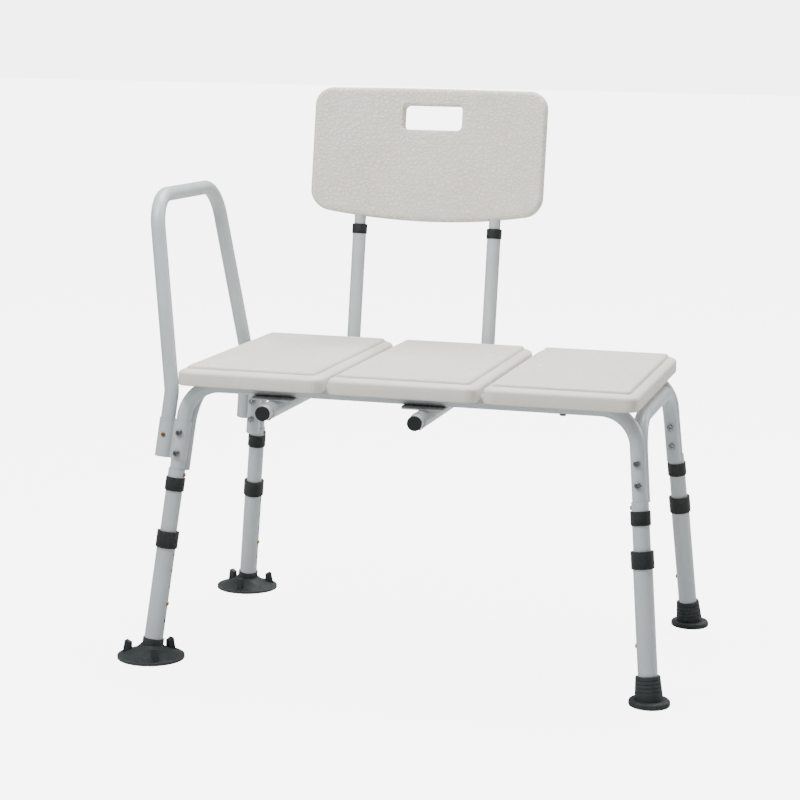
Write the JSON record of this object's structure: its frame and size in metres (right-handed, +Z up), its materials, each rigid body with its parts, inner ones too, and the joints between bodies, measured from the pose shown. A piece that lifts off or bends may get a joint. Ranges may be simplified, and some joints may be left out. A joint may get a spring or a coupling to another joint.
{
  "type": "bath transfer bench",
  "caption": "Bath transfer bench with telescoping splayed legs, a moulded panel seat, a slotted slide-in backrest, a side arm rail, suction feet and rubber tips.",
  "frame": {"origin": "on the floor under the centre of the bench's bounding box", "axes": "+Z up; +Y towards the backrest; +X to the sitter's left, away from the arm rail, which is on the -X side"},
  "size_m": [0.8394, 0.5948, 0.8521],
  "materials": {
    "moulded_panel": "pebbled, warm white, blow-moulded",
    "frame_paint": "smooth cool-white powder coat",
    "inner_tube_paint": "smooth cool-white powder coat, lightly rubbed",
    "charcoal_plastic": "satin charcoal",
    "foot_rubber": "satin charcoal rubber",
    "pad_rubber": "matt",
    "zinc_steel": "bright zinc",
    "button_brass": "yellow zinc, satin"
  },
  "bodies": {
    "frame": {"front_rail": "frame_paint", "back_rail": "frame_paint", "left_side_rail": "frame_paint", "right_side_rail": "frame_paint", "seat_panel_left": "moulded_panel", "seat_panel_middle": "moulded_panel", "seat_panel_right": "moulded_panel", "left_receiver": "frame_paint", "right_receiver": "frame_paint", "receiver_pads": "pad_rubber", "left_front_arm_bracket": "frame_paint", "left_back_arm_bracket": "frame_paint", "frame_bolts": "zinc_steel", "frame_nuts": "zinc_steel", "seat_screws": "zinc_steel", "arm_rail": "frame_paint"},
    "left_front_middle_leg": {"left_front_middle_tube": "inner_tube_paint", "left_front_middle_collar": "charcoal_plastic"},
    "left_front_lower_leg": {"left_front_lower_tube": "frame_paint", "left_front_lower_collar": "charcoal_plastic", "left_front_foot": "foot_rubber"},
    "left_front_upper_button": {"left_front_upper_clip": "button_brass"},
    "left_front_height_button": {"left_front_height_clip": "button_brass"},
    "left_back_middle_leg": {"left_back_middle_tube": "inner_tube_paint", "left_back_middle_collar": "charcoal_plastic"},
    "left_back_lower_leg": {"left_back_lower_tube": "frame_paint", "left_back_lower_collar": "charcoal_plastic", "left_back_foot": "foot_rubber"},
    "left_back_upper_button": {"left_back_upper_clip": "button_brass"},
    "left_back_height_button": {"left_back_height_clip": "button_brass"},
    "right_front_middle_leg": {"right_front_middle_tube": "inner_tube_paint", "right_front_middle_collar": "charcoal_plastic"},
    "right_front_lower_leg": {"right_front_lower_tube": "frame_paint", "right_front_lower_collar": "charcoal_plastic", "right_front_foot": "foot_rubber"},
    "right_front_upper_button": {"right_front_upper_clip": "button_brass"},
    "right_front_height_button": {"right_front_height_clip": "button_brass"},
    "right_back_middle_leg": {"right_back_middle_tube": "inner_tube_paint", "right_back_middle_collar": "charcoal_plastic"},
    "right_back_lower_leg": {"right_back_lower_tube": "frame_paint", "right_back_lower_collar": "charcoal_plastic", "right_back_foot": "foot_rubber"},
    "right_back_upper_button": {"right_back_upper_clip": "button_brass"},
    "right_back_height_button": {"right_back_height_clip": "button_brass"},
    "front_arm_button": {"front_arm_clip": "button_brass"},
    "back_arm_button": {"back_arm_clip": "button_brass"},
    "back_frame": {"left_l_tube": "frame_paint", "right_l_tube": "frame_paint", "left_upright_collar": "charcoal_plastic", "right_upright_collar": "charcoal_plastic", "left_end_cap": "charcoal_plastic", "right_end_cap": "charcoal_plastic"},
    "backrest": {"backrest_panel": "moulded_panel", "left_backrest_tube": "inner_tube_paint", "right_backrest_tube": "inner_tube_paint", "backrest_screws": "zinc_steel"},
    "left_receiver_button": {"left_receiver_clip": "button_brass"},
    "left_backrest_button": {"left_backrest_clip": "button_brass"},
    "right_receiver_button": {"right_receiver_clip": "button_brass"},
    "right_backrest_button": {"right_backrest_clip": "button_brass"}
  },
  "joints": [
    {"name": "left_front_leg_release", "type": "slide", "parent": "frame", "child": "left_front_middle_leg", "axis": [-0.0995, -0.1195, -0.9878], "range_m": [0, 0.07], "deforming": ["left_front_upper_clip"]},
    {"name": "left_front_leg_height", "type": "slide", "parent": "left_front_middle_leg", "child": "left_front_lower_leg", "axis": [-0.0995, -0.1195, -0.9878], "range_m": [-0.0254, 0.0762], "deforming": ["left_front_height_clip"]},
    {"name": "left_front_upper_button_press", "type": "slide", "parent": "frame", "child": "left_front_upper_button", "axis": [-0.995, 0, 0.1002], "range_m": [0, 0.0035], "stiffness_N_per_m": 3000, "springref_m": -0.001},
    {"name": "left_front_height_button_press", "type": "slide", "parent": "left_front_middle_leg", "child": "left_front_height_button", "axis": [-0.995, 0, 0.1002], "range_m": [0, 0.0035], "stiffness_N_per_m": 3000, "springref_m": -0.001},
    {"name": "left_back_leg_release", "type": "slide", "parent": "frame", "child": "left_back_middle_leg", "axis": [-0.0995, 0.1195, -0.9878], "range_m": [0, 0.07], "deforming": ["left_back_upper_clip"]},
    {"name": "left_back_leg_height", "type": "slide", "parent": "left_back_middle_leg", "child": "left_back_lower_leg", "axis": [-0.0995, 0.1195, -0.9878], "range_m": [-0.0254, 0.0762], "deforming": ["left_back_height_clip"]},
    {"name": "left_back_upper_button_press", "type": "slide", "parent": "frame", "child": "left_back_upper_button", "axis": [-0.995, 0, 0.1002], "range_m": [0, 0.0035], "stiffness_N_per_m": 3000, "springref_m": -0.001},
    {"name": "left_back_height_button_press", "type": "slide", "parent": "left_back_middle_leg", "child": "left_back_height_button", "axis": [-0.995, 0, 0.1002], "range_m": [0, 0.0035], "stiffness_N_per_m": 3000, "springref_m": -0.001},
    {"name": "right_front_leg_release", "type": "slide", "parent": "frame", "child": "right_front_middle_leg", "axis": [0.0995, -0.1195, -0.9878], "range_m": [0, 0.07], "deforming": ["right_front_upper_clip"]},
    {"name": "right_front_leg_height", "type": "slide", "parent": "right_front_middle_leg", "child": "right_front_lower_leg", "axis": [0.0995, -0.1195, -0.9878], "range_m": [-0.0254, 0.0762], "deforming": ["right_front_height_clip"]},
    {"name": "right_front_upper_button_press", "type": "slide", "parent": "frame", "child": "right_front_upper_button", "axis": [0.995, 0, 0.1002], "range_m": [0, 0.0035], "stiffness_N_per_m": 3000, "springref_m": -0.001},
    {"name": "right_front_height_button_press", "type": "slide", "parent": "right_front_middle_leg", "child": "right_front_height_button", "axis": [0.995, 0, 0.1002], "range_m": [0, 0.0035], "stiffness_N_per_m": 3000, "springref_m": -0.001},
    {"name": "right_back_leg_release", "type": "slide", "parent": "frame", "child": "right_back_middle_leg", "axis": [0.0995, 0.1195, -0.9878], "range_m": [0, 0.07], "deforming": ["right_back_upper_clip"]},
    {"name": "right_back_leg_height", "type": "slide", "parent": "right_back_middle_leg", "child": "right_back_lower_leg", "axis": [0.0995, 0.1195, -0.9878], "range_m": [-0.0254, 0.0762], "deforming": ["right_back_height_clip"]},
    {"name": "right_back_upper_button_press", "type": "slide", "parent": "frame", "child": "right_back_upper_button", "axis": [0.995, 0, 0.1002], "range_m": [0, 0.0035], "stiffness_N_per_m": 3000, "springref_m": -0.001},
    {"name": "right_back_height_button_press", "type": "slide", "parent": "right_back_middle_leg", "child": "right_back_height_button", "axis": [0.995, 0, 0.1002], "range_m": [0, 0.0035], "stiffness_N_per_m": 3000, "springref_m": -0.001},
    {"name": "front_arm_button_press", "type": "slide", "parent": "frame", "child": "front_arm_button", "axis": [-0.012, 0.9928, -0.1189], "range_m": [0, 0.0035], "stiffness_N_per_m": 3000, "springref_m": -0.001},
    {"name": "back_arm_button_press", "type": "slide", "parent": "frame", "child": "back_arm_button", "axis": [-0.012, -0.9928, -0.1189], "range_m": [0, 0.0035], "stiffness_N_per_m": 3000, "springref_m": -0.001},
    {"name": "back_frame_slide", "type": "slide", "parent": "frame", "child": "back_frame", "axis": [0, 1, 0], "range_m": [0, 0.39], "deforming": ["left_receiver_clip", "right_receiver_clip"]},
    {"name": "backrest_lift", "type": "slide", "parent": "back_frame", "child": "backrest", "axis": [0, 0.1478, 0.989], "range_m": [0, 0.08], "deforming": ["left_backrest_clip", "right_backrest_clip"]},
    {"name": "left_receiver_button_press", "type": "slide", "parent": "back_frame", "child": "left_receiver_button", "axis": [0, 0, 1], "range_m": [0, 0.0035], "stiffness_N_per_m": 3000, "springref_m": -0.001},
    {"name": "left_backrest_button_press", "type": "slide", "parent": "backrest", "child": "left_backrest_button", "axis": [0, -0.989, 0.1478], "range_m": [0, 0.0035], "stiffness_N_per_m": 3000, "springref_m": -0.001},
    {"name": "right_receiver_button_press", "type": "slide", "parent": "back_frame", "child": "right_receiver_button", "axis": [0, 0, 1], "range_m": [0, 0.0035], "stiffness_N_per_m": 3000, "springref_m": -0.001},
    {"name": "right_backrest_button_press", "type": "slide", "parent": "backrest", "child": "right_backrest_button", "axis": [0, -0.989, 0.1478], "range_m": [0, 0.0035], "stiffness_N_per_m": 3000, "springref_m": -0.001}
  ]
}
